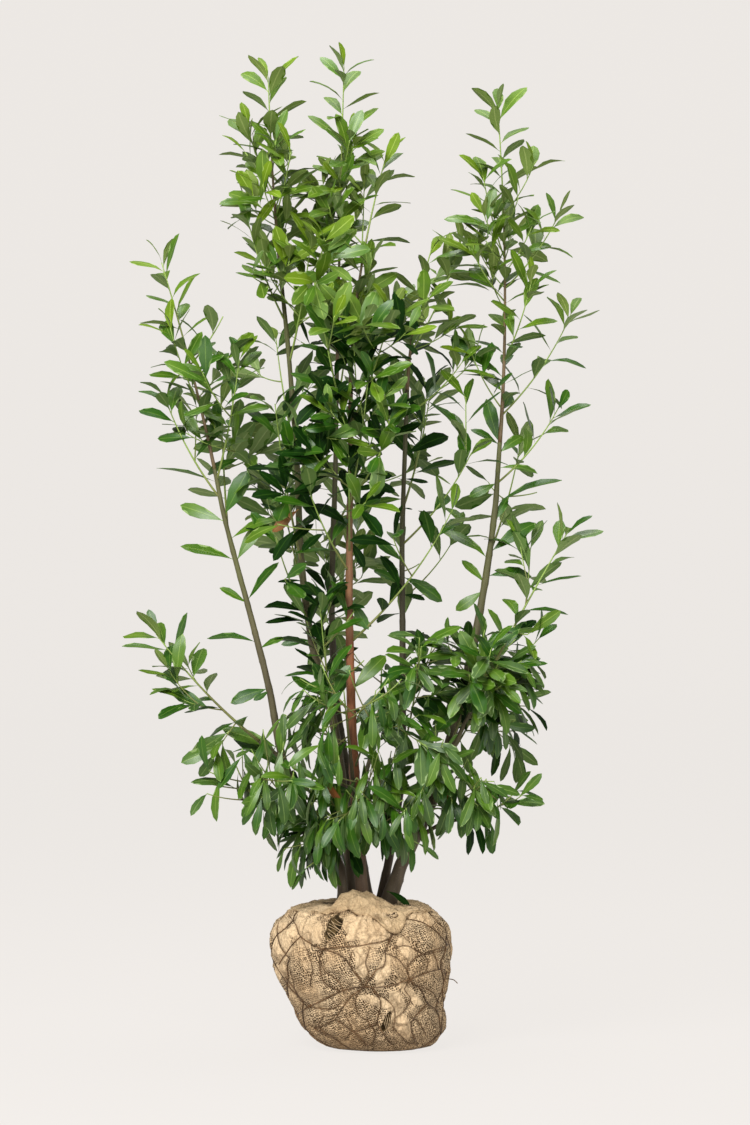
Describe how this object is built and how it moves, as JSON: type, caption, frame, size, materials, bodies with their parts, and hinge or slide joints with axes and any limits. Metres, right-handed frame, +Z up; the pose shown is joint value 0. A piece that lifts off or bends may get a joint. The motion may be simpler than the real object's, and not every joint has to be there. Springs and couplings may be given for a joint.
{
  "type": "broadleaf evergreen shrub with wrapped root ball",
  "caption": "Upright multi-stemmed glossy-leaved evergreen shrub standing on a root ball wrapped in hessian and a wire net, with a flat underside.",
  "frame": {"origin": "on the flat underside of the root ball, plumb under the middle of its collar", "axes": "+Z up along the stems, +X to the right and -Y towards the viewer in the picture"},
  "size_m": [0.9845, 0.7058, 2.2001],
  "materials": {
    "hessian": "coarse open weave, matte",
    "soil": "crumbly and matte",
    "wire": "dull annealed wire",
    "bark": "smooth young bark, grey-brown, green towards the tips",
    "foliage": "glossy leathery leaves with a pale midrib"
  },
  "bodies": {
    "root": {"bough_low_back": "bark", "bough_low_front": "bark", "bough_low_left": "bark", "bough_low_right": "bark", "bough_tail_right": "bark", "bough_under_left": "bark", "foliage_arm_left": "foliage", "foliage_arm_right": "foliage", "foliage_cross_right": "foliage", "foliage_crown_right": "foliage", "foliage_fan_left": "foliage", "foliage_front_high": "foliage", "foliage_front_high_left": "foliage", "foliage_front_left": "foliage", "foliage_front_low": "foliage", "foliage_front_mid": "foliage", "foliage_front_right": "foliage", "foliage_hem_front": "foliage", "foliage_hem_right": "foliage", "foliage_high_inner": "foliage", "foliage_high_left": "foliage", "foliage_inner_left": "foliage", "foliage_inner_right": "foliage", "foliage_ladder_left": "foliage", "foliage_leader_back": "foliage", "foliage_leader_centre": "foliage", "foliage_leader_centre_left": "foliage", "foliage_leader_centre_right": "foliage", "foliage_leader_left": "foliage", "foliage_leader_right": "foliage", "foliage_low_shoot_right": "foliage", "foliage_mid_right": "foliage", "foliage_outer_left": "foliage", "foliage_reach_right": "foliage", "foliage_rear_far_right": "foliage", "foliage_rear_high": "foliage", "foliage_rear_high_left": "foliage", "foliage_rear_left": "foliage", "foliage_rear_low": "foliage", "foliage_rear_low_left": "foliage", "foliage_rear_mid": "foliage", "foliage_rear_right": "foliage", "foliage_rear_right_low": "foliage", "foliage_rear_skirt_right": "foliage", "foliage_skirt_back": "foliage", "foliage_skirt_front": "foliage", "foliage_skirt_left": "foliage", "foliage_skirt_right": "foliage", "foliage_spire_left": "foliage", "foliage_spire_low": "foliage", "foliage_tail": "foliage", "hessian_wrap": "hessian", "soil": "soil", "stem_back": "bark", "stem_centre": "bark", "stem_centre_left": "bark", "stem_centre_right": "bark", "stem_left": "bark", "stem_right": "bark", "wire_net": "wire"}
  },
  "joints": []
}
